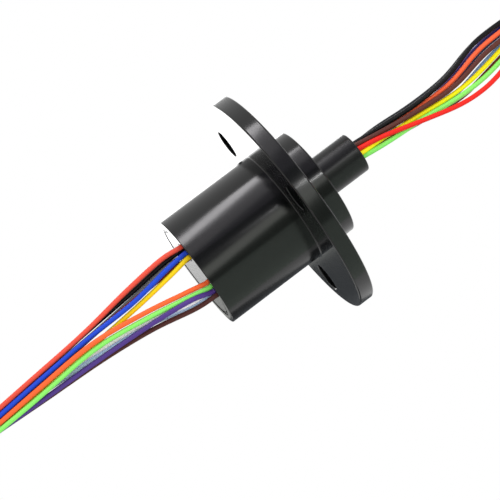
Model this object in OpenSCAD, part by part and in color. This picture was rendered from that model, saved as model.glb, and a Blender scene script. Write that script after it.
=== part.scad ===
// Flanged capsule slip ring with twelve circuits.
// A black moulded housing, with a three-hole flange, holds two brush boards. A hollow rotor
// turns in it on two ball bearings and carries a stack of twelve contact rings. Twelve leads
// leave the rear cap and twelve leave the mouth of the rotor's collar.
// +Z is the axis of rotation, towards the rotor's collar. The origin is the centre of the
// flange's mounting face, the one on the barrel's side.

/* [Housing] */
// Outer diameter of the barrel
barrel_d = 22; // [21.6:0.1:28]
// Wall of the barrel round the brush boards
wall_t = 1.9; // [1.6:0.1:2.2]
// Width of the rim round the rear cap
rim_t = 1.5; // [1:0.1:1.8]
// Outer diameter of the flange
flange_d = 44.5; // [42:0.5:50]
// Thickness of the flange
flange_t = 3; // [2.6:0.1:5]
// Diameter of the boss in front of the flange
boss_d = 21.4; // [19.6:0.1:25]
// Height of the front boss
boss_h = 4.8; // [4.4:0.1:6]
// Radius of the moulded outer edges
edge_r = 0.3; // [0.1:0.05:0.4]

/* [Flange holes] */
// Diameter of the circle on which the holes lie
hole_pcd = 35; // [32:0.5:36]
// Diameter of each hole
hole_d = 5.4; // [4.5:0.1:6]
// Number of holes
hole_count = 3; // [3:1:6]

/* [Rotor] */
// Diameter of the collar that stands out of the boss
collar_d = 7.8; // [7:0.1:7.9]
// Length of the collar in front of the boss
collar_l = 8.8; // [6:0.1:14]
// Bore that the rotor's leads pass through
lead_bore_d = 4.6; // [4.4:0.1:4.8]
// Diameter of the sleeve that carries the contact rings
sleeve_d = 6.2; // [6:0.1:6.6]
// Length of the rotor's shoulder behind the front bearing
shoulder_l = 2.3; // [2:0.1:3]
// Length of the spacer between the ring clamp and the rear bearing
spacer_l = 0.4; // [0.3:0.1:2]
// Thickness of the clamp ring behind the contact rings
clamp_t = 0.6; // [0.5:0.1:1.2]

/* [Contact rings] */
// Number of circuits
circuits = 12; // [4:1:18]
// Width of a contact ring
ring_w = 0.65; // [0.6:0.05:1.2]
// Width of the insulating barrier between two rings
barrier_w = 0.5; // [0.4:0.05:1]
// Outer diameter of a contact ring
ring_d = 8.6; // [8.2:0.1:9]
// Outer diameter of a barrier
barrier_d = 9.6; // [9.2:0.1:9.8]
// Depth of the V groove round each contact ring
groove_depth = 0.2; // [0.1:0.05:0.25]
// Diameter of a port that leads a wire to its ring
port_d = 0.5; // [0.3:0.05:0.6]

/* [Brushes] */
// Diameter of a brush wire
brush_d = 0.24; // [0.16:0.02:0.3]
// Width of a brush board
board_w = 7.2; // [6.4:0.1:7.6]
// Thickness of a brush board
board_t = 0.8; // [0.6:0.1:1]
// Width of the comb that holds the brush wires
comb_w = 1.4; // [1.2:0.1:2]
// Depth of the comb, from the board towards the rings
comb_h = 1.2; // [1:0.1:1.4]
// Length of a brush wire past the point where it meets its ring
brush_tail = 1; // [0.5:0.1:1.5]

/* [Front bearing] */
// Bore of the front bearing
front_bore = 9; // [8.8:0.1:9.1]
// Outer diameter of the front bearing
front_od = 17; // [16.6:0.1:17.4]
// Width of the front bearing
front_w = 4; // [3.6:0.1:4.4]
// Diameter of its balls
front_ball = 2.2; // [2:0.1:2.4]
// Number of its balls
front_count = 9; // [7:1:10]
// Thickness of the housing's lip in front of the bearing
lip_t = 0.8; // [0.6:0.1:1.2]
// Thickness of the snap ring behind the bearing
snap_t = 0.8; // [0.6:0.1:1]

/* [Rear bearing] */
// Bore of the rear bearing
rear_bore = 4; // [3.8:0.1:4.2]
// Outer diameter of the rear bearing
rear_od = 9; // [8.6:0.1:9.4]
// Width of the rear bearing
rear_w = 2.5; // [2.4:0.1:3]
// Diameter of its balls
rear_ball = 1.4; // [1.2:0.1:1.5]
// Number of its balls
rear_count = 8; // [6:1:9]
// Thickness of the spring washer that preloads it
washer_t = 0.4; // [0.3:0.1:0.8]

/* [Rear cap] */
// Thickness of the cap
cap_t = 1.8; // [1.6:0.1:2.4]
// Depth of the cap below the end of the barrel
cap_recess = 0.2; // [0.1:0.1:0.6]
// Wall of the cup that holds the rear bearing
cup_t = 0.7; // [0.5:0.1:0.8]
// Radius of the corners of both slots
slot_corner = 0.5; // [0.4:0.05:0.8]
// Length of each slot that the leads pass through
slot_l = 3.8; // [3.4:0.1:3.8]
// Width of each slot that the leads pass through
slot_w = 2; // [2:0.1:2.2]
// Distance of each slot from the middle plane between them
slot_x = 3.9; // [3.8:0.1:4]
// Distance from the cap's edge in to the middle line of both slots
slot_edge = 3.35; // [3.25:0.05:3.4]

/* [Leads] */
// Outer diameter of a lead
lead_d = 0.9; // [0.7:0.05:0.92]
// Depth of the sealing plug below the collar's mouth
plug_recess = 1; // [0.5:0.1:2]
// Length of the sealing plug in the collar
plug_l = 4; // [2:0.5:6]

/* [Fits] */
// Gap between the collar and the lip of the housing
lip_gap = 0.6; // [0.3:0.1:1]
// Gap between parts that are pushed together
fit_gap = 0.05; // [0.02:0.01:0.1]
// Gap between a ball and its race, or a brush and its ring
run_gap = 0.03; // [0.02:0.01:0.06]
// Gap between a ball and its pocket in the cage
pocket_gap = 0.08; // [0.05:0.01:0.1]
// Gap between the end of the rotor and the rear cap
end_gap = 0.2; // [0.1:0.05:0.3]

/* [Hidden] */
$fn = 96;

// Tiny overlap that lets a cut pass clean through a face
cut = 0.1;
// Sides of a plain round lead
lead_sides = 8;

// Heights along the axis
boss_top = flange_t + boss_h;
front_z = boss_top - lip_t - front_w;
snap_z = front_z - snap_t;
land_l = 1.2;
cavity_top = snap_z - land_l;
pitch = ring_w + barrier_w;
stack_l = circuits * pitch + barrier_w;
stack_top = front_z - shoulder_l;
stack_end = stack_top - stack_l;
clamp_z = stack_end - clamp_t;
rear_top = clamp_z - spacer_l;
rear_z = rear_top - rear_w;
washer_z = rear_z - washer_t;
cap_in = washer_z;
cap_out = cap_in - cap_t;
barrel_end = cap_out - cap_recess;
collar_end = boss_top + collar_l;
plug_end = collar_end - plug_recess;

// Radii
barrel_r = barrel_d / 2;
cavity_r = barrel_r - wall_t;
cap_seat_r = barrel_r - rim_t;
cap_r = cap_seat_r - fit_gap;
slot_y = cap_r - slot_edge;
snap_depth = 0.5;
snap_width = 1.3;
collar_r = collar_d / 2;
shoulder_r = barrier_d / 2;
spacer_r = (rear_bore + rear_od) / 4 - 0.45 * rear_ball;
key_d = 1.1;
key_angle = 19;

// Brush geometry, seen along the axis, for the board on the +X side
board_out = sqrt(cavity_r * cavity_r - board_w * board_w / 4) - fit_gap;
board_in = board_out - board_t;
comb_in = board_in - comb_h;
slit_w = brush_d + 2 * fit_gap;
slit_root = 0.3;
contact_r = ring_d / 2 - groove_depth + run_gap + brush_d / 2;
foot_x = board_in - slit_root - brush_d;
foot_y = (comb_w - board_w) / 2;
foot_reach = norm([foot_x, foot_y]);
brush_l = sqrt(foot_reach * foot_reach - contact_r * contact_r) + brush_tail;
brush_angle = 180 + atan2(foot_y, foot_x) - asin(contact_r / foot_reach);

// Middle height of circuit number i, counted from the front
function ring_z(i) = stack_top - barrier_w - ring_w / 2 - i * pitch;

// ---- Housing ----

// Quarter round of radius r about a centre, from angle a to angle b
function arc(cx, cy, r, a, b, steps = 4) =
    [for (k = [0 : steps]) [cx + r * cos(a + (b - a) * k / steps), cy + r * sin(a + (b - a) * k / steps)]];

// The barrel, the flange and the boss are one moulding
module housing() {
    lip_r = collar_r + lip_gap;
    bearing_r = front_od / 2;
    color("#2b2c2e")
    difference() {
        rotate_extrude()
        polygon(concat(
            [[cap_seat_r, barrel_end]],
            arc(barrel_r - edge_r / 2, barrel_end + edge_r / 2, edge_r / 2, -90, 0),
            [[barrel_r, 0]],
            arc(flange_d / 2 - edge_r, edge_r, edge_r, -90, 0),
            arc(flange_d / 2 - edge_r, flange_t - edge_r, edge_r, 0, 90),
            [[boss_d / 2, flange_t]],
            arc(boss_d / 2 - edge_r, boss_top - edge_r, edge_r, 0, 90),
            [
                [lip_r, boss_top],
                [lip_r, boss_top - lip_t],
                [bearing_r, boss_top - lip_t],
                [bearing_r, front_z],
                [bearing_r + snap_depth, front_z],
                [bearing_r + snap_depth, snap_z],
                [bearing_r, snap_z],
                [bearing_r, cavity_top],
                [cavity_r, cavity_top],
                [cavity_r, cap_in],
                [cap_seat_r, cap_in]
            ]
        ));
        for (k = [0 : hole_count - 1])
            rotate([0, 0, -90 + k * 360 / hole_count])
            translate([hole_pcd / 2, 0, -cut])
            cylinder(d = hole_d, h = flange_t + 2 * cut);
    }
}

// Cross-section of a slot for the leads, with round ends
module slot_shape(l, w) {
    offset(r = slot_corner, $fn = 32)
    square([l - 2 * slot_corner, w - 2 * slot_corner], center = true);
}

// Rear cap with the cup of the rear bearing on its inner side
module rear_cap() {
    cup_r = rear_od / 2;
    color("#343537")
    difference() {
        union() {
            translate([0, 0, cap_out])
            cylinder(r = cap_r, h = cap_t);
            translate([0, 0, cap_in])
            cylinder(r = cup_r + cup_t, h = rear_top - cap_in);
        }
        translate([0, 0, cap_in])
        cylinder(r = cup_r, h = rear_top - cap_in + cut);
        for (s = [-1, 1])
            translate([s * slot_x, -slot_y, cap_out - cut])
            linear_extrude(cap_t + 2 * cut)
            slot_shape(slot_l, slot_w);
        rotate([0, 0, key_angle])
        translate([cap_r - key_d / 4, 0, cap_out - cut])
        cylinder(d = key_d, h = cap_t / 2 + cut, $fn = 32);
    }
}

// Resin that fills a slot round its six leads
module lead_seal(side) {
    color("#55565a")
    translate([side * slot_x, -slot_y, cap_out])
    linear_extrude(cap_t)
    slot_shape(slot_l - 2 * fit_gap, slot_w - 2 * fit_gap);
}

// ---- Brush gear ----

// Turns a piece made for the +X side round to the side asked for
module on_side(side) {
    rotate([0, 0, side > 0 ? 0 : 180])
    children();
}

// Circuit board that carries one row of brushes
module brush_board(side) {
    pad_d = 0.7;
    color("#2f6b45")
    on_side(side)
    difference() {
        translate([board_in, -board_w / 2, cap_in])
        cube([board_t, board_w, cavity_top - cap_in]);
        // Solder holes, one for each circuit
        for (i = [0 : circuits - 1])
            translate([board_in - cut, board_w / 4, ring_z(i)])
            rotate([0, 90, 0])
            cylinder(d = pad_d, h = board_t + 2 * cut, $fn = 24);
    }
}

// Comb with one slit for each brush wire
module brush_comb(side) {
    color("#d8d2c0")
    on_side(side)
    difference() {
        translate([comb_in, -board_w / 2, ring_z(circuits - 1) - pitch / 2])
        cube([comb_h, comb_w, circuits * pitch]);
        for (i = [0 : circuits - 1])
            translate([comb_in - cut, -board_w / 2 - cut, ring_z(i) - slit_w / 2])
            cube([comb_h - slit_root + cut, comb_w + 2 * cut, slit_w]);
    }
}

// Brush wires, each of which lies across its contact ring in the V groove
module brushes(side) {
    color("#e0b94f")
    on_side(side)
    for (i = [0 : circuits - 1])
        translate([foot_x, foot_y, ring_z(i)])
        rotate([0, 0, brush_angle])
        rotate([0, 90, 0])
        cylinder(d = brush_d, h = brush_l, $fn = 24);
}

// ---- Bearings ----

// Half section of one race, between two radii, with a groove for the balls
module race(inner_r, outer_r, width, pitch_r, ball) {
    rotate_extrude()
    difference() {
        translate([inner_r, -width / 2])
        square([outer_r - inner_r, width]);
        translate([pitch_r, 0])
        circle(r = ball / 2 + run_gap, $fn = 48);
    }
}

// How far the shoulders of the races stand from the circle of the balls
function land(ball) = 0.36 * ball;

module inner_race(bore, od, width, ball) {
    race(bore / 2, (bore + od) / 4 - land(ball), width, (bore + od) / 4, ball);
}

module outer_race(bore, od, width, ball) {
    race((bore + od) / 4 + land(ball), od / 2, width, (bore + od) / 4, ball);
}

module ball_set(bore, od, ball, count) {
    for (k = [0 : count - 1])
        rotate([0, 0, k * 360 / count])
        translate([(bore + od) / 4, 0, 0])
        sphere(d = ball, $fn = 32);
}

// Cage with a round pocket for each ball
module cage(bore, od, ball, count) {
    cage_t = 0.5 * ball;
    cage_w = ball + 0.8;
    color("#c9a25a")
    difference() {
        rotate_extrude()
        translate([(bore + od) / 4 - cage_t / 2, -cage_w / 2])
        square([cage_t, cage_w]);
        for (k = [0 : count - 1])
            rotate([0, 0, k * 360 / count])
            translate([(bore + od) / 4 - cage_t, 0, 0])
            rotate([0, 90, 0])
            cylinder(d = ball + 2 * pocket_gap, h = 2 * cage_t, $fn = 32);
    }
}

module at_front() {
    translate([0, 0, front_z + front_w / 2])
    children();
}

module at_rear() {
    translate([0, 0, rear_z + rear_w / 2])
    children();
}

// Snap ring that keeps the front bearing in the boss
module snap_ring() {
    ear_d = 1.4;
    gap_w = 3;
    ring_r = front_od / 2 + snap_depth - fit_gap;
    ear_r = front_od / 2 - 1.1;
    color("#8d9095")
    translate([0, 0, snap_z])
    difference() {
        union() {
            difference() {
                cylinder(r = ring_r, h = snap_t);
                translate([0, 0, -cut])
                cylinder(r = ring_r - snap_width, h = snap_t + 2 * cut);
                translate([0, -gap_w / 2, -cut])
                cube([front_od, gap_w, snap_t + 2 * cut]);
            }
            for (s = [-1, 1])
                translate([ear_r, s * (gap_w + ear_d) / 2, 0])
                cylinder(d = ear_d, h = snap_t, $fn = 32);
        }
        for (s = [-1, 1])
            translate([ear_r, s * (gap_w + ear_d) / 2, -cut])
            cylinder(d = ear_d / 2, h = snap_t + 2 * cut, $fn = 24);
    }
}

// Spring washer behind the rear bearing
module spring_washer() {
    color("#9a9da1")
    translate([0, 0, washer_z])
    difference() {
        cylinder(r = rear_od / 2 - fit_gap, h = washer_t);
        translate([0, 0, -cut])
        cylinder(r = (rear_bore + rear_od) / 4 + land(rear_ball), h = washer_t + 2 * cut);
    }
}

// ---- Rotor ----

// Hollow shaft: rear journal, sleeve for the rings, shoulder, front journal and collar
module rotor_shaft() {
    relief = 0.2;
    // Undercut that ends the collar just clear of the housing's lip
    neck_r = collar_r - 0.25;
    neck_out = 0.2;
    color("#242527")
    difference() {
        rotate_extrude()
        polygon(concat(
            [
                [0, cap_in + end_gap],
                [rear_bore / 2, cap_in + end_gap],
                [rear_bore / 2, rear_top],
                [spacer_r, rear_top],
                [spacer_r, clamp_z],
                [sleeve_d / 2, clamp_z],
                [sleeve_d / 2, stack_top],
                [shoulder_r, stack_top],
                [shoulder_r, front_z],
                [front_bore / 2, front_z],
                [front_bore / 2, front_z + front_w + relief],
                [neck_r, front_z + front_w + relief],
                [neck_r, boss_top + neck_out],
                [collar_r, boss_top + neck_out]
            ],
            arc(collar_r - edge_r, collar_end - edge_r, edge_r, 0, 90),
            [
                [lead_bore_d / 2, collar_end],
                [lead_bore_d / 2, stack_end],
                [0, stack_end]
            ]
        ));
        // Ports through which each circuit's wire reaches its ring
        for (i = [0 : circuits - 1])
            translate([0, 0, ring_z(i)])
            rotate([0, 0, i * 360 / circuits])
            rotate([0, 90, 0])
            cylinder(d = port_d, h = sleeve_d, $fn = 24);
    }
}

// Contact rings, each with a V groove for the brush wires
module contact_rings() {
    color("#e3bd52")
    for (i = [0 : circuits - 1])
        translate([0, 0, ring_z(i)])
        rotate_extrude()
        polygon([
            [sleeve_d / 2, -ring_w / 2],
            [ring_d / 2, -ring_w / 2],
            [ring_d / 2 - groove_depth, 0],
            [ring_d / 2, ring_w / 2],
            [sleeve_d / 2, ring_w / 2]
        ]);
}

// Insulating barriers, one more than there are rings
module ring_barriers() {
    color("#e8e4d8")
    for (i = [0 : circuits])
        translate([0, 0, stack_top - barrier_w - i * pitch])
        difference() {
            cylinder(d = barrier_d, h = barrier_w);
            translate([0, 0, -cut])
            cylinder(d = sleeve_d, h = barrier_w + 2 * cut);
        }
}

// Ring that clamps the stack against the shoulder
module ring_clamp() {
    color("#3a3b3e")
    translate([0, 0, clamp_z])
    difference() {
        cylinder(d = ring_d, h = clamp_t);
        translate([0, 0, -cut])
        cylinder(d = sleeve_d, h = clamp_t + 2 * cut);
    }
}

// Resin plug round the leads, inside the collar
module collar_seal() {
    color("#4b4c50")
    translate([0, 0, plug_end - plug_l])
    cylinder(d = lead_bore_d - 2 * fit_gap, h = plug_l);
}

// ---- Leads ----

// Point on a smooth curve through four points, between the middle two
function blend(a, b, c, d, t) =
    0.5 * (2 * b + (c - a) * t + (2 * a - 5 * b + 4 * c - d) * t * t + (3 * b - a - 3 * c + d) * t * t * t);

// Smooth curve through a route, with a number of steps between each two points
function smooth(route, steps) = let(n = len(route)) concat(
    [for (i = [0 : n - 2]) for (k = [0 : steps - 1])
        blend(
            i == 0 ? 2 * route[0] - route[1] : route[i - 1],
            route[i],
            route[i + 1],
            i == n - 2 ? 2 * route[n - 1] - route[n - 2] : route[i + 2],
            k / steps
        )],
    [route[n - 1]]
);

function unit(v) = v / norm(v);

// Solid tube along a curve that never runs along Y
module tube(curve, d) {
    n = len(curve);
    m = lead_sides;
    skin = [for (i = [0 : n - 1])
        let(
            ahead = unit(curve[min(i + 1, n - 1)] - curve[max(i - 1, 0)]),
            side = unit(cross([0, 1, 0], ahead)),
            up = cross(ahead, side)
        )
        for (k = [0 : m - 1]) curve[i] + d / 2 * (cos(k * 360 / m) * side + sin(k * 360 / m) * up)];
    polyhedron(
        points = skin,
        faces = concat(
            [[for (k = [0 : m - 1]) k]],
            [for (i = [0 : n - 2]) for (k = [0 : m - 1])
                [i * m + k, (i + 1) * m + k, (i + 1) * m + (k + 1) % m, i * m + (k + 1) % m]],
            [[for (k = [m - 1 : -1 : 0]) (n - 1) * m + k]]
        )
    );
}

// Leads are bundled four wide and three deep where they run together
lane = 0.96;
function lane_x(i) = (i % 4 - 1.5) * lane;
function lane_y(i) = (floor(i / 4) - 1) * lane;

// The places below are measured from the middle line of the slots, in the cap's outer face
stator_in = 1.1;
stator_fall = 50.7;
gather_l = 6;
lead_start = 2;
// Route of the stator's leads after they have gathered, hanging straight down
stator_gather = [[0, stator_in, gather_l - stator_fall], [0, stator_in, -stator_fall]];
// Free ends of the stator's leads, by lane: colour, slot and place in it, then the route down
stator_routes = [
    ["#cf3a2c", [-1, -1.23, -0.5], [[-5.4, -0.5, -4.7], [-4.6, -0.4, -12.7], [-3.2, -0.3, -22.7], [-2.2, 0, -34.7]]],
    ["#1c3fa8", [-1, 0.15, -0.5], [[-3.4, -0.8, -4.7], [-2.3, -0.8, -12.7], [-2, -0.8, -22.7], [-1.2, -0.3, -34.7]]],
    ["#f2543a", [1, -1.4, -0.5], [[1.7, -0.9, -4.7], [0.2, -1.3, -12.7], [-0.9, -1.7, -22.7], [-0.2, -0.8, -34.7]]],
    ["#7bd66a", [1, -0.47, -0.5], [[2.65, -0.8, -4.7], [1.2, -1.1, -12.7], [0.1, -1.4, -22.7], [0.9, -0.6, -34.7]]],
    ["#161618", [-1, -0.7, 0.4], [[-4.6, 0.4, -4.7], [-3.8, 0.5, -12.7], [-3.1, 0.7, -22.7], [-2, 1.1, -34.7]]],
    ["#7a1c1a", [-1, 1.2, 0.45], [[-2.9, 0.4, -4.7], [-2.5, 0.3, -12.7], [-1.9, 0.3, -22.7], [-0.7, 0.7, -34.7]]],
    ["#f0b020", [-1, 1.1, -0.5], [[-2.2, -0.4, -4.7], [-1.3, -0.1, -12.7], [-0.5, 0, -22.7], [0.4, 1, -34.7]]],
    ["#4b3a86", [1, 0.46, -0.5], [[3.3, -1.5, -4.7], [2.5, -0.85, -12.7], [2, -0.5, -22.7], [1.7, 0.3, -34.7]]],
    ["#77787c", [-1, 0.25, 0.45], [[-3.75, 0.8, -4.7], [-2.9, 1.2, -12.7], [-2.1, 1.7, -22.7], [-1.6, 2, -34.7]]],
    ["#e4e2f0", [1, 0.05, 0.42], [[3.75, -0.25, -4.7], [1.7, 0, -12.7], [0.6, 0.8, -22.7], [-0.4, 2.1, -34.7]]],
    ["#8fb8ea", [1, 1, 0.42], [[4.3, 0.8, -4.7], [2.4, 0.8, -12.7], [1.4, 1.3, -22.7], [0.7, 2.1, -34.7]]],
    ["#4e2622", [1, 1.39, -0.5], [[5, -0.2, -4.7], [3.4, 0.2, -12.7], [2.4, 0.8, -22.7], [1.9, 1.7, -34.7]]]
];

// Whole route of a stator lead, from the cap to its hank
function stator_exit(row) = [row[1][0] * slot_x + row[1][1], row[1][2] - slot_y, cap_out];
function stator_route(i) = let(
        row = stator_routes[i],
        mouth = stator_exit(row),
        base = [0, -slot_y, cap_out]
    ) concat(
    [mouth, mouth - [0, 0, lead_start]],
    [for (p = row[2]) base + p],
    [for (p = stator_gather) base + p + [lane_x(i), lane_y(i), 0]]
);

module stator_lead(i) {
    color(stator_routes[i][0])
    tube(smooth(stator_route(i), 3), lead_d);
}

// Spine of the rotor's leads past the open fan: over an arch and down to their hank,
// with the direction across the bundle at each point. Heights are above the seal's face.
rotor_reach = 32;
rotor_hang = 35.4;
rotor_spine = [
    [[-1.5, 0, 41.4], [1.2, 0, 0.3]],
    [[-5.5, 0, 49.4], [0.79, 0, 0.7]],
    [[-13, 0, 54.4], [0.25, 0, 0.97]],
    [[-22, 0, 53.4], [-0.42, 0, 0.9]],
    [[-29, 0, 47.4], [-0.85, 0, 0.53]],
    [[-rotor_reach, 0, rotor_hang + 5], [-1, 0, 0]],
    [[-rotor_reach, 0, rotor_hang], [-1, 0, 0]]
];
// Free ends of the rotor's leads, by lane: colour, then the route up from the mouth
rotor_routes = [
    ["#121214", [[-1, -0.85, 6.4], [-0.4, -0.9, 14.4], [-0.9, -1.4, 22.4], [-3, -1.6, 30.4]]],
    ["#f0603a", [[-0.4, 0.05, 6.4], [0.3, -0.1, 14.4], [0.3, -1.1, 22.4], [-1.5, -1.4, 30.4]]],
    ["#5b2f28", [[-0.2, -1.5, 6.4], [0.8, -1.7, 14.4], [1.2, -1.8, 22.4], [-0.2, -1.9, 30.4]]],
    ["#ee2218", [[0.7, -2, 6.4], [2.9, -2.9, 14.4], [4.7, -3.2, 22.4], [4.2, -3.1, 30.4]]],
    ["#26282c", [[-1.3, 0.5, 6.4], [-0.8, 1.3, 14.4], [-1.1, 0.9, 22.4], [-2.9, 0.4, 30.4]]],
    ["#24365f", [[-0.9, 1.45, 6.4], [0.6, 1.2, 14.4], [0.7, 0.6, 22.4], [-1.1, 0.1, 30.4]]],
    ["#f6d820", [[0.95, -1.05, 6.4], [1.6, -1, 14.4], [2.3, -1.2, 22.4], [1.5, -0.8, 30.4]]],
    ["#76d765", [[2, -1.5, 6.4], [2.5, -1.7, 14.4], [3.3, -1.7, 22.4], [2.9, -1.2, 30.4]]],
    ["#4b3a86", [[0, 1.95, 6.4], [0.6, 2.2, 14.4], [0.1, 2.2, 22.4], [-1.9, 1.7, 30.4]]],
    ["#dfdcec", [[0.9, 1.6, 6.4], [1.7, 2, 14.4], [1.3, 2, 22.4], [-0.3, 1.6, 30.4]]],
    ["#8fb8ea", [[0.4, 0.7, 6.4], [2.2, 0.9, 14.4], [2.5, 0.8, 22.4], [1, 1, 30.4]]],
    ["#6e2420", [[1.6, 0.1, 6.4], [2.7, -0.1, 14.4], [3.6, -0.2, 22.4], [2.5, 0.3, 30.4]]]
];

// Places of the leads in the collar's mouth: three inside, nine round them
mouth_in = 0.54;
mouth_out = 1.47;
function spot(r, a) = [r * cos(a), r * sin(a)];
mouth = [
    spot(mouth_out, 180), spot(mouth_in, 180), spot(mouth_out, 220), spot(mouth_out, 260),
    spot(mouth_out, 140), spot(mouth_out, 100), spot(mouth_out, 300), spot(mouth_out, 340),
    spot(mouth_out, 60), spot(mouth_out, 20), spot(mouth_in, 60), spot(mouth_in, 300)
];

// Whole route of a rotor lead, from the seal in the collar to its hank
function rotor_route(i) = let(
        m = mouth[i],
        base = [0, 0, plug_end]
    ) concat(
    [[m[0], m[1], plug_end], [m[0], m[1], plug_end + lead_start]],
    [for (p = rotor_routes[i][1]) base + p],
    [for (p = rotor_spine) base + p[0] + lane_x(i) * p[1] + [0, lane_y(i), 0]]
);

module rotor_lead(i) {
    color(rotor_routes[i][0])
    tube(smooth(rotor_route(i), 2), lead_d);
}

// Hanks: the leads' spare length, wound in long turns that hang in line with the object
hank_bend = 2.8;
hank_run = 17;
hank_slack = 0.15;
hank_r = hank_bend + 4 * lane + hank_slack;
hank_mid = hank_bend + 2 * lane;

// Outline of a hank with round ends and the neck that its leads enter by
module hank_shape() {
    circle(r = hank_r, $fn = 64);
    translate([0, -hank_run])
    circle(r = hank_r, $fn = 64);
    translate([-hank_r, -hank_run])
    square([2 * hank_r, hank_run]);
    translate([-hank_r, 0])
    square([4 * lane + 2 * hank_slack, hank_r]);
}

// Solid of a hank, with the neck's top at height z above the middle of its leads
module hank(x, y, z, side, depth) {
    translate([x + side * hank_mid, y + 1.5 * lane + hank_slack, z - hank_r])
    rotate([90, 0, 0])
    linear_extrude(depth)
    mirror([side > 0 ? 0 : 1, 0, 0])
    hank_shape();
}

// Band of a cable tie round a hank, with its head and the cut end of its strap
module tie(x, y, z, side, depth) {
    band_t = 1;
    band_w = 2.5;
    head = 3.4;
    tail = 5;
    room = 2 * fit_gap;
    wide = 2 * hank_r + room;
    deep = depth + room;
    color("#d9dadb")
    translate([x + side * hank_mid, y + 1.5 * lane + hank_slack - depth / 2, z - hank_r - hank_run / 2 - band_w / 2]) {
        difference() {
            linear_extrude(band_w)
            union() {
                square([wide, deep + 2 * band_t], center = true);
                square([wide + 2 * band_t, deep], center = true);
                for (sx = [-1, 1], sy = [-1, 1])
                    translate([sx * wide / 2, sy * deep / 2])
                    circle(r = band_t, $fn = 32);
            }
            translate([-wide / 2, -deep / 2, -cut])
            cube([wide, deep, band_w + 2 * cut]);
        }
        translate([side * (wide / 2 + band_t) - (side > 0 ? 0 : head), -head / 2, (band_w - head) / 2])
        cube([head, head, head]);
        translate([side * (wide / 2 + band_t + head / 2) - band_t / 2, head / 2, 0])
        cube([band_t, tail, band_w]);
    }
}

// Depth of a hank whose leads lie in it in so many turns, side by side
function hank_depth(turns) = (3 * turns + 2) * lane + lead_d + 2 * hank_slack;
stator_depth = hank_depth(3.6);
rotor_depth = hank_depth(3);

module stator_hank() {
    color("#5a4a58")
    hank(0, stator_in - slot_y, cap_out - stator_fall, 1, stator_depth);
}

module stator_tie() {
    tie(0, stator_in - slot_y, cap_out - stator_fall, 1, stator_depth);
}

module rotor_hank() {
    color("#5a4a58")
    hank(-rotor_reach, 0, plug_end + rotor_hang, -1, rotor_depth);
}

module rotor_tie() {
    tie(-rotor_reach, 0, plug_end + rotor_hang, -1, rotor_depth);
}

// ---- Assembly ----

housing();
rear_cap();
lead_seal(-1);  // lead_seal_left
lead_seal(1);  // lead_seal_right
brush_board(-1);  // brush_board_left
brush_board(1);  // brush_board_right
brush_comb(-1);  // brush_comb_left
brush_comb(1);  // brush_comb_right
brushes(-1);  // brushes_left
brushes(1);  // brushes_right
snap_ring();
spring_washer();
color("#b8bbbf") at_front() outer_race(front_bore, front_od, front_w, front_ball);  // front_outer_race
color("#b8bbbf") at_rear() outer_race(rear_bore, rear_od, rear_w, rear_ball);  // rear_outer_race
rotor_shaft();
contact_rings();
ring_barriers();
ring_clamp();
collar_seal();
color("#b8bbbf") at_front() inner_race(front_bore, front_od, front_w, front_ball);  // front_inner_race
color("#b8bbbf") at_rear() inner_race(rear_bore, rear_od, rear_w, rear_ball);  // rear_inner_race
color("#d0d3d6") at_front() ball_set(front_bore, front_od, front_ball, front_count);  // front_balls
at_front() cage(front_bore, front_od, front_ball, front_count);  // front_cage
color("#d0d3d6") at_rear() ball_set(rear_bore, rear_od, rear_ball, rear_count);  // rear_balls
at_rear() cage(rear_bore, rear_od, rear_ball, rear_count);  // rear_cage
stator_lead(0);  // stator_lead_red
stator_lead(4);  // stator_lead_black
stator_lead(2);  // stator_lead_orange
stator_lead(3);  // stator_lead_green
stator_lead(5);  // stator_lead_maroon
stator_lead(1);  // stator_lead_blue
stator_lead(6);  // stator_lead_yellow
stator_lead(7);  // stator_lead_purple
stator_lead(8);  // stator_lead_grey
stator_lead(9);  // stator_lead_white
stator_lead(10);  // stator_lead_sky
stator_lead(11);  // stator_lead_brown
stator_hank();
stator_tie();
rotor_lead(0);  // rotor_lead_black
rotor_lead(1);  // rotor_lead_orange
rotor_lead(2);  // rotor_lead_brown
rotor_lead(3);  // rotor_lead_red
rotor_lead(4);  // rotor_lead_grey
rotor_lead(5);  // rotor_lead_blue
rotor_lead(6);  // rotor_lead_yellow
rotor_lead(7);  // rotor_lead_green
rotor_lead(8);  // rotor_lead_purple
rotor_lead(9);  // rotor_lead_white
rotor_lead(10);  // rotor_lead_sky
rotor_lead(11);  // rotor_lead_maroon
rotor_hank();
rotor_tie();
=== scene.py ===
import math
import bmesh
import bpy
from mathutils import Matrix, Vector


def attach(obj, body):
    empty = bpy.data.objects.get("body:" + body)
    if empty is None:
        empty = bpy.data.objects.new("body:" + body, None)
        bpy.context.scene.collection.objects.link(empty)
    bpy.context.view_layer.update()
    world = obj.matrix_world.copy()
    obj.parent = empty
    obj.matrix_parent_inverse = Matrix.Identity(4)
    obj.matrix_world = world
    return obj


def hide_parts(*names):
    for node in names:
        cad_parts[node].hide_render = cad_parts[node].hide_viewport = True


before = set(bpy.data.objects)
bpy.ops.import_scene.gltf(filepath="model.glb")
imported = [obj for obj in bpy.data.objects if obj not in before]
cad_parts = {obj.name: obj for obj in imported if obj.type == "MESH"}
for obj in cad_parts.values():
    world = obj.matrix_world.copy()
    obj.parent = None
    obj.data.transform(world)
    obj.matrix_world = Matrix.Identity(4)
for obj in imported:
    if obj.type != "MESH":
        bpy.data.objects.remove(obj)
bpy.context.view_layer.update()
mm = 0.001


def linear(colour):
    parts = [int(colour[i:i + 2], 16) / 255 for i in (1, 3, 5)]
    return tuple(p / 12.92 if p <= 0.04045 else ((p + 0.055) / 1.055) ** 2.4 for p in parts) + (1.0,)


def link(obj):
    bpy.context.scene.collection.objects.link(obj)
    return obj


# Camera

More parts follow.
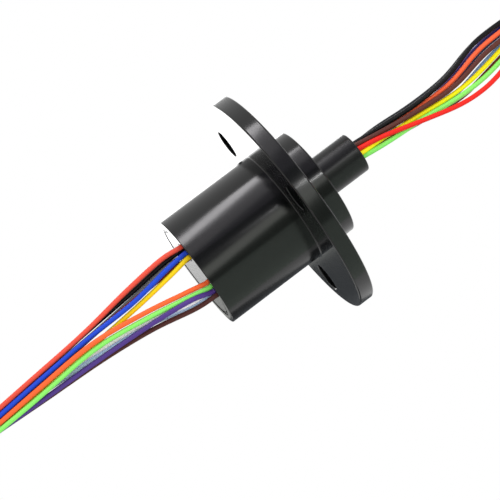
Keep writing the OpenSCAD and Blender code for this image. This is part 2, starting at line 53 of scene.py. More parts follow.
shot = {
    "place": (-1.41, -324.89, -48.05),
    "yaw": 0.71,
    "pitch": 6.79,
    "roll": 52.99,
    "lens": 132.54,
    "sensor": 36,
    "near": 0.01,
}


def makeCamera(shot):
    yaw, pitch, roll = (math.radians(shot[key]) for key in ("yaw", "pitch", "roll"))
    ahead = Vector((math.sin(yaw) * math.cos(pitch), math.cos(yaw) * math.cos(pitch), math.sin(pitch)))
    level = ahead.cross(Vector((0, 0, 1))).normalized()
    lift = level.cross(ahead)
    right = level * math.cos(roll) + lift * math.sin(roll)
    up = lift * math.cos(roll) - level * math.sin(roll)
    data = bpy.data.cameras.new("camera")
    data.lens = shot["lens"]
    data.sensor_width = shot["sensor"]
    data.clip_start = shot["near"]
    camera = link(bpy.data.objects.new("camera", data))
    turn = Matrix((right, up, -ahead)).transposed().to_4x4()
    camera.matrix_world = Matrix.Translation(Vector(shot["place"]) * mm) @ turn
    bpy.context.scene.camera = camera


makeCamera(shot)
bpy.context.scene.view_settings.view_transform = "Standard"
print("camera")


# Shader graphs

class Wire:
    # One socket's value, which can be added to and multiplied
    def __init__(self, graph, socket):
        self.graph = graph
        self.socket = socket

    def __add__(self, other):
        return self.graph.math("ADD", self, other)

    def __mul__(self, other):
        return self.graph.math("MULTIPLY", self, other)


class Stop:
    # One node, with outputs read by name or number
    def __init__(self, graph, node):
        self.graph = graph
        self.node = node

    def __getitem__(self, name):
        return Wire(self.graph, self.node.outputs[name])


class Graph:
    def __init__(self, tree):
        self.tree = tree
        tree.nodes.clear()

    def add(self, kind, settings=None, sockets=None):
        node = self.tree.nodes.new(kind)
        for name, value in (settings or {}).items():
            setattr(node, name, value)
        for name, value in (sockets or {}).items():
            for wire in value if isinstance(value, list) else [value]:
                if isinstance(wire, Wire):
                    self.tree.links.new(wire.socket, node.inputs[name])
                else:
                    node.inputs[name].default_value = wire
        return Stop(self, node)

    def math(self, operation, a, b):
        return self.add("ShaderNodeMath", {"operation": operation}, {0: a, 1: b})[0]

    def blend(self, amount, a, b):
        # Inputs 6 and 7 and output 2 are the mix node's colours
        return self.add("ShaderNodeMix", {"data_type": "RGBA"}, {0: amount, 6: a, 7: b})[2]


plainFinish = {
    "metal": 0.0, "ior": 1.5,
    # Tone is how far the colour strays, spread how far the roughness does
    "tone": 0.12, "spread": 0.06, "patch": 180.0, "patchDetail": 3.0, "patchRough": 0.55,
    "relief": 0.08, "reliefDepth": 0.0001, "grain": 2500.0, "grainDetail": 2.0, "grainRough": 0.5,
}


def surface(name, spec):
    spec = {**plainFinish, **spec}
    material = bpy.data.materials.new(name)
    material.use_nodes = True
    graph = Graph(material.node_tree)
    place = graph.add("ShaderNodeTexCoord")["Object"]
    base = linear(spec["colour"])
    darker = tuple(v * (1 - spec["tone"]) for v in base[:3]) + (1.0,)
    lighter = tuple(min(1, v * (1 + spec["tone"])) for v in base[:3]) + (1.0,)
    patches = graph.add("ShaderNodeTexNoise", {}, {
        "Vector": place, "Scale": spec["patch"], "Detail": spec["patchDetail"],
        "Roughness": spec["patchRough"]})[0]
    grain = graph.add("ShaderNodeTexNoise", {}, {
        "Vector": place, "Scale": spec["grain"], "Detail": spec["grainDetail"],
        "Roughness": spec["grainRough"]})[0]
    rough = patches * spec["spread"] + (spec["rough"] - spec["spread"] / 2)
    relief = graph.add("ShaderNodeBump", {}, {
        "Strength": spec["relief"], "Distance": spec["reliefDepth"], "Height": grain})["Normal"]
    shader = graph.add("ShaderNodeBsdfPrincipled", {}, {
        "Base Color": graph.blend(patches, darker, lighter),
        "Roughness": rough,
        "Metallic": spec["metal"],
        "IOR": spec["ior"],
        "Normal": relief})
    graph.add("ShaderNodeOutputMaterial", {}, {"Surface": shader["BSDF"]})
    return material


finishes = {
    "black_plastic": {"colour": "#0a0b0b", "rough": 0.15, "relief": 0.02, "spread": 0.04, "ior": 1.43},
    "cap_plastic": {"colour": "#101111", "rough": 0.2, "relief": 0.05, "ior": 1.45},
    "rotor_plastic": {"colour": "#0b0c0d", "rough": 0.3, "relief": 0.06, "ior": 1.4},
    "seal_resin": {"colour": "#0d0d0e", "rough": 0.3, "relief": 0.2, "grain": 900.0},
    "board_green": {"colour": "#1d5a34", "rough": 0.4},
    "comb_plastic": {"colour": "#202224", "rough": 0.45},
    "brush_gold": {"colour": "#d9a441", "rough": 0.25, "metal": 1.0},
    "ring_gold": {"colour": "#e0ad4a", "rough": 0.2, "metal": 1.0},
    "barrier_plastic": {"colour": "#1b1c1e", "rough": 0.4},
    "spring_steel": {"colour": "#9a9da0", "rough": 0.3, "metal": 1.0},
    "bearing_steel": {"colour": "#b4b7ba", "rough": 0.22, "metal": 1.0},
    "ball_steel": {"colour": "#c4c7ca", "rough": 0.1, "metal": 1.0},
    "cage_brass": {"colour": "#b08a45", "rough": 0.3, "metal": 1.0},
    "tie_nylon": {"colour": "#d8d8d2", "rough": 0.45, "relief": 0.1},
    "hank_bundle": {"colour": "#44464a", "rough": 0.5},
}
materials = {name: surface(name, spec) for name, spec in finishes.items()}
print("materials", len(materials))

cadFinish = {
    "housing": "black_plastic", "rear_cap": "cap_plastic",
    "lead_seal_left": "seal_resin", "lead_seal_right": "seal_resin",
    "brush_board_left": "board_green", "brush_board_right": "board_green",
    "brush_comb_left": "comb_plastic", "brush_comb_right": "comb_plastic",
    "brushes_left": "brush_gold", "brushes_right": "brush_gold",
    "snap_ring": "spring_steel", "spring_washer": "spring_steel",
    "front_outer_race": "bearing_steel", "rear_outer_race": "bearing_steel",
    "front_inner_race": "bearing_steel", "rear_inner_race": "bearing_steel",
    "front_balls": "ball_steel", "rear_balls": "ball_steel",
    "front_cage": "cage_brass", "rear_cage": "cage_brass",
    "rotor_shaft": "rotor_plastic", "contact_rings": "ring_gold",
    "ring_barriers": "barrier_plastic", "ring_clamp": "rotor_plastic",
    "collar_seal": "seal_resin", "stator_tie": "tie_nylon", "rotor_tie": "tie_nylon",
    "stator_hank": "hank_bundle", "rotor_hank": "hank_bundle",
}


def paint(obj, material):
    obj.data.materials.clear()
    obj.data.materials.append(material)


for nodeName, slotName in cadFinish.items():
    paint(bpy.data.objects[nodeName], materials[slotName])
print("painted", len(cadFinish))


# Mesh tools

sharpAngle = 32
# How far a cutter runs past the face it cuts
past = 1


def arc(x, z, radius, start, end, count=8):
    turn = [math.radians(start + (end - start) * k / count) for k in range(count + 1)]
    return [(x + radius * math.cos(a), z + radius * math.sin(a)) for a in turn]


def lathe(profile, segments, centre=(0, 0)):
    # Closed profile of (radius, height) turned about an upright line
    shape = bmesh.new()
    rings = []
    for radius, height in profile:
        if radius == 0:
            rings.append([shape.verts.new((centre[0] * mm, centre[1] * mm, height * mm))] * segments)
            continue
        rings.append([shape.verts.new((
            (centre[0] + radius * math.cos(2 * math.pi * k / segments)) * mm,
            (centre[1] + radius * math.sin(2 * math.pi * k / segments)) * mm,
            height * mm)) for k in range(segments)])
    for low, high in zip(rings, rings[1:] + rings[:1]):
        for k in range(segments):
            j = (k + 1) % segments
            corners = list(dict.fromkeys((low[k], low[j], high[j], high[k])))
            if len(corners) > 2:
                shape.faces.new(corners)
    bmesh.ops.recalc_face_normals(shape, faces=shape.faces)
    return shape


def meshObject(name, *shapes):
    data = bpy.data.meshes.new(name)
    whole = bmesh.new()
    for shape in shapes:
        part = bpy.data.meshes.new("part")
        shape.to_mesh(part)
        shape.free()
        whole.from_mesh(part)
        bpy.data.meshes.remove(part)
    whole.to_mesh(data)
    whole.free()
    return link(bpy.data.objects.new(name, data))


def applied(obj):
    # The object's mesh with its modifiers worked in
    graph = bpy.context.evaluated_depsgraph_get()
    fresh = bpy.data.meshes.new_from_object(obj.evaluated_get(graph))
    obj.modifiers.clear()
    obj.data = fresh
    return obj


def carve(obj, cutter):
    cut = obj.modifiers.new("cut", "BOOLEAN")
    cut.operation = "DIFFERENCE"
    cut.solver = "EXACT"
    cut.object = cutter
    applied(obj)
    bpy.data.objects.remove(cutter)


def settle(obj, material):
    # Smooth shading with flat faces kept flat
    for face in obj.data.polygons:
        face.use_smooth = True
    obj.data.set_sharp_from_angle(angle=math.radians(sharpAngle))
    even = obj.modifiers.new("even", "WEIGHTED_NORMAL")
    even.keep_sharp = True
    applied(obj)
    paint(obj, material)
    return obj


# Leads

lead = {
    "diameter": 0.9, "length": 250, "lane": 0.96, "capOut": -19.3, "plugEnd": 15.6, "start": 0.8,
    "sideSteps": 4, "curveSteps": 3, "order": 3, "routeSteps": {"stator": 5, "rotor": 3},
}
hank = {
    "bend": 2.8, "run": 17, "slack": 0.15, "across": 4, "rows": 3, "turns": 6, "bendSteps": 12, "runSteps": 2,
}
leadSheen = {"rough": 0.42, "ior": 1.32, "spread": 0.1, "tone": 0.05, "patch": 90.0, "relief": 0.0}

# Name, colour, mouth on the cap, and the places passed on the way to the bundle
statorLeads = [
    ("red", "#e4503c", (-5.13, -6.6),
     [(-5.4, -6.6, -24), (-4.6, -6.5, -32), (-3.2, -6.4, -42), (-2.2, -6.1, -54)]),
    ("blue", "#1846cc", (-3.75, -6.6),
     [(-3.4, -6.9, -24), (-2.3, -6.9, -32), (-2.0, -6.9, -42), (-1.2, -6.4, -54)]),
    ("orange", "#ff6830", (2.5, -6.6),
     [(1.7, -7.0, -24), (0.2, -7.4, -32), (-0.9, -7.8, -42), (-0.2, -6.9, -54)]),
    ("green", "#8cf06c", (3.43, -6.6),
     [(2.65, -6.9, -24), (1.2, -7.2, -32), (0.1, -7.5, -42), (0.9, -6.7, -54)]),
    ("black", "#0b0b0c", (-4.6, -5.7),
     [(-4.6, -5.7, -24), (-3.8, -5.6, -32), (-3.1, -5.4, -42), (-2.0, -5.0, -54)]),
    ("maroon", "#7a1c1a", (-2.7, -5.65),
     [(-2.9, -5.7, -24), (-2.5, -5.8, -32), (-1.9, -5.8, -42), (-0.7, -5.4, -54)]),
    ("yellow", "#ffd60e", (-2.8, -6.6),
     [(-2.2, -6.5, -24), (-1.3, -6.2, -32), (-0.5, -6.1, -42), (0.4, -5.1, -54)]),
    ("purple", "#523888", (4.36, -6.6),
     [(3.3, -7.6, -24), (2.5, -6.95, -32), (2.0, -6.6, -42), (1.7, -5.8, -54)]),
    ("grey", "#77787c", (-3.65, -5.65),
     [(-3.75, -5.3, -24), (-2.9, -4.9, -32), (-2.1, -4.4, -42), (-1.6, -4.1, -54)]),
    # Painted light: the white lead is pure white and the sky lead lighter than the rotor's sky lead, to lift
    # both out of the shade of the leads in front of them
    ("white", "#fefcff", (3.95, -5.68),
     [(3.75, -6.35, -24), (1.7, -6.1, -32), (0.6, -5.3, -42), (-0.4, -4.0, -54)]),
    ("sky", "#c4deff", (4.9, -5.68),
     [(4.3, -5.3, -24), (2.4, -5.3, -32), (1.4, -4.8, -42), (0.7, -4.0, -54)]),
    ("brown", "#4e2622", (5.29, -6.6),
     [(5.0, -6.3, -24), (3.4, -5.9, -32), (2.4, -5.3, -42), (1.9, -4.4, -54)]),
]
# The middle of the bundle, and the direction its lanes spread in
statorSpine = [((0, -5, -64), (1, 0, 0)), ((0, -5, -70), (1, 0, 0))]

# The same, with the mouth as a radius and an angle in the collar
rotorLeads = [
    ("black", "#0b0a0c", (1.47, 180),
     [(-1.0, -0.85, 22), (-0.4, -0.9, 30), (-0.9, -1.4, 38), (-3.0, -1.6, 46)]),
    ("orange", "#f6643a", (0.54, 180),
     [(-0.4, 0.05, 22), (0.3, -0.1, 30), (0.3, -1.1, 38), (-1.5, -1.4, 46)]),
    ("brown", "#5b2f28", (1.47, 220),
     [(-0.2, -1.5, 22), (0.8, -1.7, 30), (1.2, -1.8, 38), (-0.2, -1.9, 46)]),
    ("red", "#ee2218", (1.47, 260),
     [(0.7, -2.0, 22), (2.9, -2.9, 30), (4.7, -3.2, 38), (4.2, -3.1, 46)]),
    ("grey", "#26282c", (1.47, 140),
     [(-1.3, 0.5, 22), (-0.8, 1.3, 30), (-1.1, 0.9, 38), (-2.9, 0.4, 46)]),
    ("blue", "#24365f", (1.47, 100),
     [(-0.9, 1.45, 22), (0.6, 1.2, 30), (0.7, 0.6, 38), (-1.1, 0.1, 46)]),
    ("yellow", "#fff010", (1.47, 300),
     [(0.95, -1.05, 22), (1.6, -1.0, 30), (2.3, -1.2, 38), (1.5, -0.8, 46)]),
    ("green", "#8cf06c", (1.47, 340),
     [(2.0, -1.5, 22), (2.5, -1.7, 30), (3.3, -1.7, 38), (2.9, -1.2, 46)]),
    ("purple", "#4b3a86", (1.47, 60),
     [(0, 1.95, 22), (0.6, 2.2, 30), (0.1, 2.2, 38), (-1.9, 1.7, 46)]),
    ("white", "#dfdcec", (1.47, 20),
     [(0.9, 1.6, 22), (1.7, 2.0, 30), (1.3, 2.0, 38), (-0.3, 1.6, 46)]),
    ("sky", "#8fb8ea", (0.54, 60),
     [(0.4, 0.7, 22), (2.2, 0.9, 30), (2.5, 0.8, 38), (1.0, 1.0, 46)]),
    ("maroon", "#6e2420", (0.54, 300),
     [(1.6, 0.1, 22), (2.7, -0.1, 30), (3.6, -0.2, 38), (2.5, 0.3, 46)]),
]
rotorSpine = [
    ((-1.5, 0, 57), (1.2, 0, 0.3)), ((-5.5, 0, 65), (0.79, 0, 0.7)),
    ((-13, 0, 70), (0.25, 0, 0.97)), ((-22, 0, 69), (-0.42, 0, 0.9)),
    ((-29, 0, 63), (-0.85, 0, 0.53)), ((-32, 0, 56), (-1, 0, 0)), ((-32, 0, 51), (-1, 0, 0)),
]


def smoothRoute(points, steps):
    # Catmull-Rom curve through every point
    points = [Vector(p) for p in points]
    padded = [2 * points[0] - points[1]] + points + [2 * points[-1] - points[-2]]
    route = []
    for a, b, c, d in zip(padded, padded[1:], padded[2:], padded[3:]):
        for k in range(steps):
            t = k / steps
            route.append(0.5 * (2 * b + (c - a) * t + (2 * a - 5 * b + 4 * c - d) * t ** 2
                                + (3 * b - a - 3 * c + d) * t ** 3))
    return route + [points[-1]]


def hankReach():
    # From the middle of a bend to the outside and to the middle of the bundle
    outer = hank["bend"] + hank["across"] * lead["lane"] + hank["slack"]
    middle = hank["bend"] + hank["across"] / 2 * lead["lane"]
    return outer, middle


def woundTurns(entry, laneX, laneY, side):
    # Turns of one lead in its hank, each beside the last
    outer, middle = hankReach()
    radius = middle - side * laneX
    bends, runs = hank["bendSteps"], hank["runSteps"]
    x, y, z = entry[0] + side * middle, entry[1] + laneY, entry[2] - outer
    low = z - hank["run"]
    # Down, round the bottom, up and round the top, with the share of the sideways step made so far
    loop = [(x - side * radius, 0, z - hank["run"] * k / runs) for k in range(runs)]
    for k in range(bends):
        a = math.pi * k / bends
        loop.append((x - side * radius * math.cos(a), k / bends / 2, low - radius * math.sin(a)))
    loop += [(x + side * radius, 0.5 + k / runs / 2, low + hank["run"] * k / runs) for k in range(runs)]
    for k in range(bends):
        a = math.pi * k / bends
        loop.append((x + side * radius * math.cos(a), 1, z + radius * math.sin(a)))
    step = hank["rows"] * lead["lane"]
    return [Vector((px, y - step * (turn + share), pz))
            for turn in range(hank["turns"]) for px, share, pz in loop]


def cutToLength(points, length):
    # The points up to this length, the last one in between
    kept = [points[0]]
    for point in points[1:]:
        step = (point - kept[-1]).length
        if step >= length:
            kept.append(kept[-1].lerp(point, length / step))
            return kept
        length -= step
        kept.append(point)
    return kept


def makeLead(name, colour, points, spec):
    data = bpy.data.curves.new(name, "CURVE")
    data.dimensions = "3D"
    data.bevel_depth = lead["diameter"] / 2 * mm
    data.bevel_resolution = lead["sideSteps"]
    data.use_fill_caps = True
    data.resolution_u = lead["curveSteps"]
    spline = data.splines.new("NURBS")
    spline.points.add(len(points) - 1)
    spline.order_u = lead["order"]
    spline.use_endpoint_u = True
    for point, place in zip(spline.points, points):
        point.co = (place.x * mm, place.y * mm, place.z * mm, 1)
    spline.use_smooth = True
    data.materials.append(surface(name, {"colour": colour, **spec}))
    return link(bpy.data.objects.new(name, data))


def leadSet(body, leads, spine, side, start):
    made = []
    for i, (word, colour, mouth, middle) in enumerate(leads):
        laneX = (i % hank["across"] - (hank["across"] - 1) / 2) * lead["lane"]
        laneY = (i // hank["across"] - (hank["rows"] - 1) / 2) * lead["lane"]
        x, y, z, away = start(mouth)
        tail = [(p[0] + laneX * across[0], p[1] + laneY, p[2] + laneX * across[2]) for p, across in spine]
        route = smoothRoute([(x, y, z), (x, y, z + away)] + middle + tail, lead["routeSteps"][body])
        route += woundTurns(spine[-1][0], laneX, laneY, side)
        points = cutToLength(route, lead["length"])
        piece = makeLead(body + "Lead" + word.capitalize(), colour, points, leadSheen)
        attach(piece, body)
        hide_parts(body + "_lead_" + word)
        made.append((piece, (x * mm, y * mm, z * mm)))
    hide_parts(body + "_hank")
    for k, (piece, mouth) in enumerate(made):
        [bpy.data.objects[body + "Tie"]] if k == 0 else []


def statorMouth(mouth):
    # Place of the exit, and the way out along Z
    return mouth[0], mouth[1], lead["capOut"], -lead["start"]


def rotorMouth(mouth):
    angle = math.radians(mouth[1])
    return mouth[0] * math.cos(angle), mouth[0] * math.sin(angle), lead["plugEnd"], lead["start"]


# Cable ties

tie = {
    "thick": 1.0, "width": 2.5, "room": 0.1, "corner": 0.6, "cornerSteps": 8, "round": 0.2, "roundSteps": 3,
    "head": 3.4, "headEdge": 0.4, "tail": 5.0, "tailRoot": 1,
    "teeth": 6, "pitch": 0.7, "tooth": (0.3, 0.35, 1.5), "turns": {"stator": 3.6, "rotor": 3.0},
}


def strapTree():
    # A strap round a rounded oblong, and a row of teeth along the cut end of it
    tree = bpy.data.node_groups.new("strap", "GeometryNodeTree")
    for name in ("Wide", "Deep", "Corner", "Thick", "Width", "Round", "Pitch"):
        tree.interface.new_socket(name, in_out="INPUT", socket_type="NodeSocketFloat")
    kinds = {"Row Start": "Vector", "Tooth": "Vector", "Teeth": "Int", "Nylon": "Material"}
    for name, kind in kinds.items():
        tree.interface.new_socket(name, in_out="INPUT", socket_type="NodeSocket" + kind)
    tree.interface.new_socket("Geometry", in_out="OUTPUT", socket_type="NodeSocketGeometry")
    graph = Graph(tree)
    size = graph.add("NodeGroupInput")
    path = graph.add("GeometryNodeCurvePrimitiveQuadrilateral", {}, {
        "Width": size["Wide"], "Height": size["Deep"]})
    path = graph.add("GeometryNodeFilletCurve", {"mode": "POLY"}, {
        "Curve": path[0], "Count": tie["cornerSteps"], "Radius": size["Corner"]})
    path = graph.add("GeometryNodeSetCurveNormal", {"mode": "Z_UP"}, {"Curve": path[0]})
    section = graph.add("GeometryNodeCurvePrimitiveQuadrilateral", {}, {
        "Width": size["Thick"], "Height": size["Width"]})
    section = graph.add("GeometryNodeFilletCurve", {"mode": "POLY"}, {
        "Curve": section[0], "Count": tie["roundSteps"], "Radius": size["Round"]})
    strap = graph.add("GeometryNodeCurveToMesh", {}, {"Curve": path[0], "Profile Curve": section[0]})
    step = graph.add("ShaderNodeCombineXYZ", {}, {"Y": size["Pitch"]})
    row = graph.add("GeometryNodeMeshLine", {"mode": "OFFSET"}, {
        "Count": size["Teeth"], "Start Location": size["Row Start"], "Offset": step[0]})
    tooth = graph.add("GeometryNodeMeshCube", {}, {"Size": size["Tooth"]})
    teeth = graph.add("GeometryNodeInstanceOnPoints", {}, {"Points": row[0], "Instance": tooth[0]})
    whole = graph.add("GeometryNodeJoinGeometry", {}, {"Geometry": [strap[0], teeth[0]]})
    real = graph.add("GeometryNodeRealizeInstances", {}, {"Geometry": whole[0]})
    done = graph.add("GeometryNodeSetMaterial", {}, {"Geometry": real[0], "Material": size["Nylon"]})
    graph.add("NodeGroupOutput", {}, {"Geometry": done[0]})
    return tree


def grown(name, tree, values):
    # The plain mesh that a tree makes from the values given by name
    seed = link(bpy.data.objects.new(name, bpy.data.meshes.new(name)))
    grow = seed.modifiers.new("grow", "NODES")
    grow.node_group = tree
    for item in tree.interface.items_tree:
        if item.in_out == "INPUT":
            grow[item.identifier] = values[item.name]
    return applied(seed)


def roundedBlock(low, high, edge):
    shape = bmesh.new()
    middle = [(a + b) / 2 * mm for a, b in zip(low, high)]
    size = [(b - a) * mm for a, b in zip(low, high)]
    bmesh.ops.create_cube(shape, matrix=Matrix.Translation(middle) @ Matrix.Diagonal(size + [1]))
    bmesh.ops.bevel(shape, geom=shape.edges[:], offset=edge * mm, segments=tie["roundSteps"], affect="EDGES",
                    profile=0.5)
    return shape


def makeTie(body, spine, side, tree):
    outer, middle = hankReach()
    rows, wide = hank["rows"], 2 * outer + tie["room"]
    depth = (rows * tie["turns"][body] + rows - 1) * lead["lane"] + lead["diameter"] + 2 * hank["slack"]
    deep, thick, half = depth + tie["room"], tie["thick"], tie["width"] / 2
    end = spine[-1][0]
    centre = Vector((
        end[0] + side * middle,
        end[1] + rows / 2 * lead["lane"] + hank["slack"] - depth / 2,
        end[2] - outer - hank["run"] / 2))
    face, head = wide / 2 + thick, tie["head"]
    tailX = side * (face + head / 2)
    strap = grown("strap", tree, {
        "Wide": (wide + thick) * mm, "Deep": (deep + thick) * mm, "Corner": tie["corner"] * mm,
        "Thick": thick * mm, "Width": tie["width"] * mm, "Round": tie["round"] * mm,
        "Row Start": [(tailX - side * thick / 2) * mm, (head / 2 + tie["pitch"]) * mm, 0.0],
        "Pitch": tie["pitch"] * mm, "Tooth": [v * mm for v in tie["tooth"]], "Teeth": tie["teeth"],
        "Nylon": materials["tie_nylon"]})
    shape = bmesh.new()
    shape.from_mesh(strap.data)
    bpy.data.objects.remove(strap)
    low, high = sorted((side * face, side * (face + head)))
    block = roundedBlock((low, -head / 2, -head / 2), (high, head / 2, head / 2), tie["headEdge"])
    tail = roundedBlock((tailX - thick / 2, head / 2 - tie["tailRoot"], -half),
                        (tailX + thick / 2, head / 2 + tie["tail"], half), tie["round"])
    piece = meshObject(body + "Tie", shape, block, tail)
    for vertex in piece.data.vertices:
        vertex.co += centre * mm
    settle(piece, materials["tie_nylon"])
    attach(piece, body)
    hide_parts(body + "_tie")


tieTree = strapTree()
makeTie("stator", statorSpine, 1, tieTree)
makeTie("rotor", rotorSpine, -1, tieTree)
print("ties")

leadSet("stator", statorLeads, statorSpine, 1, statorMouth)
leadSet("rotor", rotorLeads, rotorSpine, -1, rotorMouth)
print("leads", len(statorLeads) + len(rotorLeads))


# Housing

shell = {
    "barrel": 11, "end": -19.5, "flange": 22.25, "thick": 3, "boss": 10.7, "top": 7.8,
    "edge": 0.3, "endEdge": 0.15, "corner": 0.25, "lip": 4.5, "lipThick": 0.8, "bearing": 8.5,
    "cavityTop": 1.0, "cavity": 9.1, "capSeat": 9.5, "capIn": -17.5,
    "holes": 3, "firstHole": -90, "holeCircle": 17.5, "hole": 2.7, "holeEdge": 0.18, "holeSteps": 4,
    "holeSegments": 64, "segments": 192,
}


def makeHousing(shell):
    barrel, end, endEdge = shell["barrel"], shell["end"], shell["endEdge"]
    rim, thick, boss, top = shell["flange"], shell["thick"], shell["boss"], shell["top"]
    edge, corner, bearing, under = shell["edge"], shell["corner"], shell["bearing"], top - shell["lipThick"]
    profile = [(shell["capSeat"], end)]
    profile += arc(barrel - endEdge, end + endEdge, endEdge, -90, 0)
    profile += arc(barrel + corner, -corner, corner, 180, 90)
    profile += arc(rim - edge, edge, edge, -90, 0)
    profile += arc(rim - edge, thick - edge, edge, 0, 90)
    profile += arc(boss + corner, thick + corner, corner, 270, 180)
    profile += arc(boss - edge, top - edge, edge, 0, 90)
    profile += [
        (shell["lip"], top), (shell["lip"], under), (bearing, under), (bearing, shell["cavityTop"]),
        (shell["cavity"], shell["cavityTop"]), (shell["cavity"], shell["capIn"]),
        (shell["capSeat"], shell["capIn"]),
    ]
    housing = meshObject("housingShell", lathe(profile, shell["segments"]))
    lip, steps = shell["holeEdge"], shell["holeSteps"]
    wide = shell["hole"] + lip
    shape = [(0, -past), (wide, -past)] + arc(wide, lip, lip, 270, 180, steps)
    shape += arc(wide, thick - lip, lip, 180, 90, steps) + [(wide, thick + past), (0, thick + past)]
    cutters = []
    for k in range(shell["holes"]):
        a = math.radians(shell["firstHole"] + 360 / shell["holes"] * k)
        centre = (shell["holeCircle"] * math.cos(a), shell["holeCircle"] * math.sin(a))
        cutters.append(lathe(shape, shell["holeSegments"], centre))
    carve(housing, meshObject("cutter", *cutters))
    settle(housing, materials["black_plastic"])
    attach(housing, "stator")
    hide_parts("housing")
    print("housing", len(housing.data.polygons))


makeHousing(shell)


# Rear cap

cap = {
    "radius": 9.4, "out": -19.42, "inner": -17.5, "edge": 0.1, "edgeSteps": 4, "segments": 160,
    "line": 8.9, "lineWidth": 0.24, "lineDepth": 0.8,
    "cup": 4.5, "cupWall": 0.7, "cupTop": -14.6,
    "slotX": 3.9, "slotY": -6.1, "slotSize": (3.8, 2.0), "slotCorner": 0.5, "slotSteps": 6,
    "key": 0.55, "keyAt": 9.175, "keyAngle": 19, "keyDepth": 0.9, "keySegments": 24,
}


def slotCutter(x, spec):
    # Upright prism with rounded corners
    corner = spec["slotCorner"]
    halfX, halfY = (v / 2 - corner for v in spec["slotSize"])
    outline = []
    for sx, sy, start in ((1, -1, 270), (1, 1, 0), (-1, 1, 90), (-1, -1, 180)):
        middle = (x + sx * halfX, spec["slotY"] + sy * halfY)
        outline += arc(*middle, corner, start, start + 90, spec["slotSteps"])
    shape = bmesh.new()
    levels = [[shape.verts.new((px * mm, py * mm, z * mm)) for px, py in outline]
              for z in (spec["out"] - past, spec["inner"] + past)]
    shape.faces.new(levels[0][::-1])
    shape.faces.new(levels[1])
    count = len(outline)
    for k in range(count):
        j = (k + 1) % count
        shape.faces.new((levels[0][k], levels[0][j], levels[1][j], levels[1][k]))
    return shape


def makeCap(spec):
    out, inner, edge = spec["out"], spec["inner"], spec["edge"]
    line, half, low = spec["line"], spec["lineWidth"] / 2, out + spec["lineDepth"]
    wall = spec["cup"] + spec["cupWall"]
    profile = [(0, out), (line - half, out), (line - half, low), (line + half, low), (line + half, out)]
    profile += arc(spec["radius"] - edge, out + edge, edge, -90, 0, spec["edgeSteps"])
    profile += [(spec["radius"], inner), (wall, inner), (wall, spec["cupTop"]), (spec["cup"], spec["cupTop"]),
                (spec["cup"], inner), (0, inner)]
    piece = meshObject("rearCap", lathe(profile, spec["segments"]))
    angle = math.radians(spec["keyAngle"])
    centre = (spec["keyAt"] * math.cos(angle), spec["keyAt"] * math.sin(angle))
    deep = out + spec["keyDepth"]
    notch = lathe([(0, out - past), (spec["key"], out - past), (spec["key"], deep), (0, deep)],
                  spec["keySegments"], centre)
    slots = [slotCutter(side * spec["slotX"], spec) for side in (-1, 1)]
    carve(piece, meshObject("cutter", notch, *slots))
    settle(piece, materials["cap_plastic"])
    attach(piece, "stator")
    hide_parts("rear_cap")
    print("cap", len(piece.data.polygons))


makeCap(cap)


# Light

# Watts of an area lamp for one unit of radiance and one square metre
lampPower = 4
lights = [
    {"name": "key", "aim": (-0.907, -0.414, 0.072), "far": 0.605, "size": (0.06, 0.33), "twist": 70,
     "radiance": 9.5, "colour": (1.0, 0.98, 1.0)},
    {"name": "keyEdge", "aim": (-0.76, -0.65, 0.12), "far": 0.6, "size": (0.09, 0.5), "twist": 70,
     "radiance": 0.9, "colour": (1.0, 0.98, 1.0)},
    {"name": "front", "aim": (0.09, -0.98, 0.125), "far": 0.7, "size": (0.1, 0.5), "twist": 60,
     "radiance": 1.7, "colour": (0.98, 1.0, 0.94)},
    {"name": "fill", "aim": (-0.35, -0.8, 0.45), "far": 0.8, "size": (0.4, 0.4), "twist": 0,
     "radiance": 1.6, "colour": (1.0, 1.0, 1.0), "plain": True},
    {"name": "fillLow", "aim": (0.1, -0.97, -0.22), "far": 0.8, "size": (0.4, 0.4), "twist": 0,
     "radiance": 1.7, "colour": (1.0, 1.0, 1.0), "plain": True},
    {"name": "glint", "aim": (-0.122, -0.97, 0.225), "far": 0.72, "size": (0.01, 0.09), "twist": 0,
     "radiance": 60.0, "colour": (1.0, 1.0, 1.0)},
    {"name": "rear", "aim": (-0.25, 0.93, -0.14), "far": 0.72, "size": (0.35, 0.6), "twist": 0,
     "radiance": 2.0, "colour": (1.0, 1.0, 1.0)},
]
ambient = 0.75


def makeLight(spec):
    data = bpy.data.lights.new(spec["name"], "AREA")
    data.shape = "RECTANGLE"
    data.size, data.size_y = spec["size"]
    data.energy = lampPower * spec["radiance"] * spec["size"][0] * spec["size"][1]
    data.color = spec["colour"]
    light = link(bpy.data.objects.new(spec["name"], data))
    aim = Vector(spec["aim"]).normalized()
    side = Vector((0, 0, 1)).cross(aim).normalized()
    turn = Matrix((side, aim.cross(side), aim)).transposed().to_4x4()
    twist = Matrix.Rotation(math.radians(spec["twist"]), 4, "Z")
    light.matrix_world = Matrix.Translation(aim * spec["far"]) @ turn @ twist
    light.visible_camera = False
    # A plain light leaves no reflection of itself
    light.visible_glossy = not spec.get("plain", False)


for spec in lights:
    makeLight(spec)

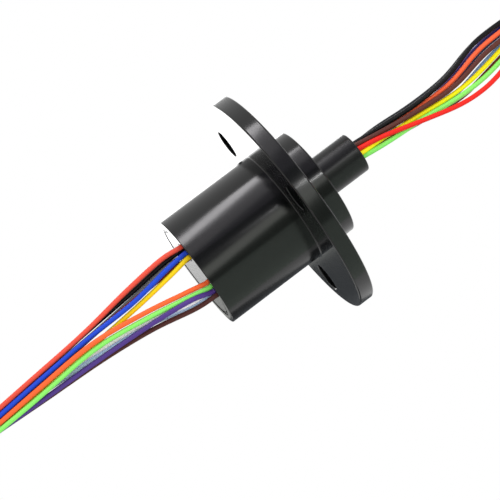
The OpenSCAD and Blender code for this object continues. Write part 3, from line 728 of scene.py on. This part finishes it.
stageRough = 0.9
floor = {"height": -0.125, "radius": 0.4, "segments": 96, "colour": "#f4f4f2", "tone": 0.01}
cards = [
    {"name": "cardBehind", "ends": ((0.03, 0.5), (0.055, 0.5)), "span": (-0.4, 0.15), "colour": "#42464a"},
    {"name": "cardRight", "ends": ((0.055, 0.5), (1.0, 0.5)), "span": (-0.4, 0.092), "colour": "#62666a"},
    {"name": "cardEnd", "ends": ((0.012, 0.5), (0.03, 0.5)), "span": (-0.4, 0.15), "colour": "#bcbeba"},
    {"name": "cardSide", "ends": ((0.5, -0.75), (0.8, 0.2)), "span": (-0.3, 0.5), "colour": "#e4f4e6"},
    {"name": "cardFront", "ends": ((0.0, -0.75), (0.5, -0.75)), "span": (-0.3, 0.4), "colour": "#8c988c"},
    {"name": "cardCore", "ends": ((-0.33, -0.76), (0.0, -0.76)), "span": (-0.3, 0.4), "colour": "#6c6e76"},
    {"name": "cardLeft", "ends": ((-0.95, -0.2), (-0.33, -0.76)), "span": (-0.3, 0.5), "colour": "#b4b0be"},
]


def makeFloor(floor):
    shape = bmesh.new()
    bmesh.ops.create_circle(shape, cap_ends=True, segments=floor["segments"], radius=floor["radius"])
    disc = meshObject("floor", shape)
    disc.location = (0, 0, floor["height"])
    finish = {"colour": floor["colour"], "rough": stageRough, "tone": floor["tone"]}
    paint(disc, surface("floorPaint", finish))


def makeCard(card):
    # A grey card that only the part's glossy faces mirror
    (x0, y0), (x1, y1) = card["ends"]
    low, high = card["span"]
    shape = bmesh.new()
    corners = ((x0, y0, low), (x1, y1, low), (x1, y1, high), (x0, y0, high))
    shape.faces.new([shape.verts.new(p) for p in corners])
    panel = meshObject(card["name"], shape)
    paint(panel, surface(card["name"] + "Paint", {"colour": card["colour"], "rough": stageRough}))
    panel.visible_camera = False
    panel.visible_diffuse = False
    panel.visible_shadow = False


makeFloor(floor)
for card in cards:
    makeCard(card)


def makeWorld(ambient):
    world = bpy.data.worlds.new("studio")
    bpy.context.scene.world = world
    world.use_nodes = True
    graph = Graph(world.node_tree)
    path = graph.add("ShaderNodeLightPath")
    seen = graph.math("MAXIMUM", path["Is Camera Ray"], path["Is Glossy Ray"])
    seen = graph.math("MAXIMUM", seen, path["Is Transmission Ray"])
    soft = graph.add("ShaderNodeBackground", {}, {"Color": (1, 1, 1, 1), "Strength": ambient})
    white = graph.add("ShaderNodeBackground", {}, {"Color": (1, 1, 1, 1), "Strength": 1.0})
    both = graph.add("ShaderNodeMixShader", {}, {0: seen, 1: soft[0], 2: white[0]})
    graph.add("ShaderNodeOutputWorld", {}, {"Surface": both[0]})


makeWorld(ambient)
print("light", len(lights))
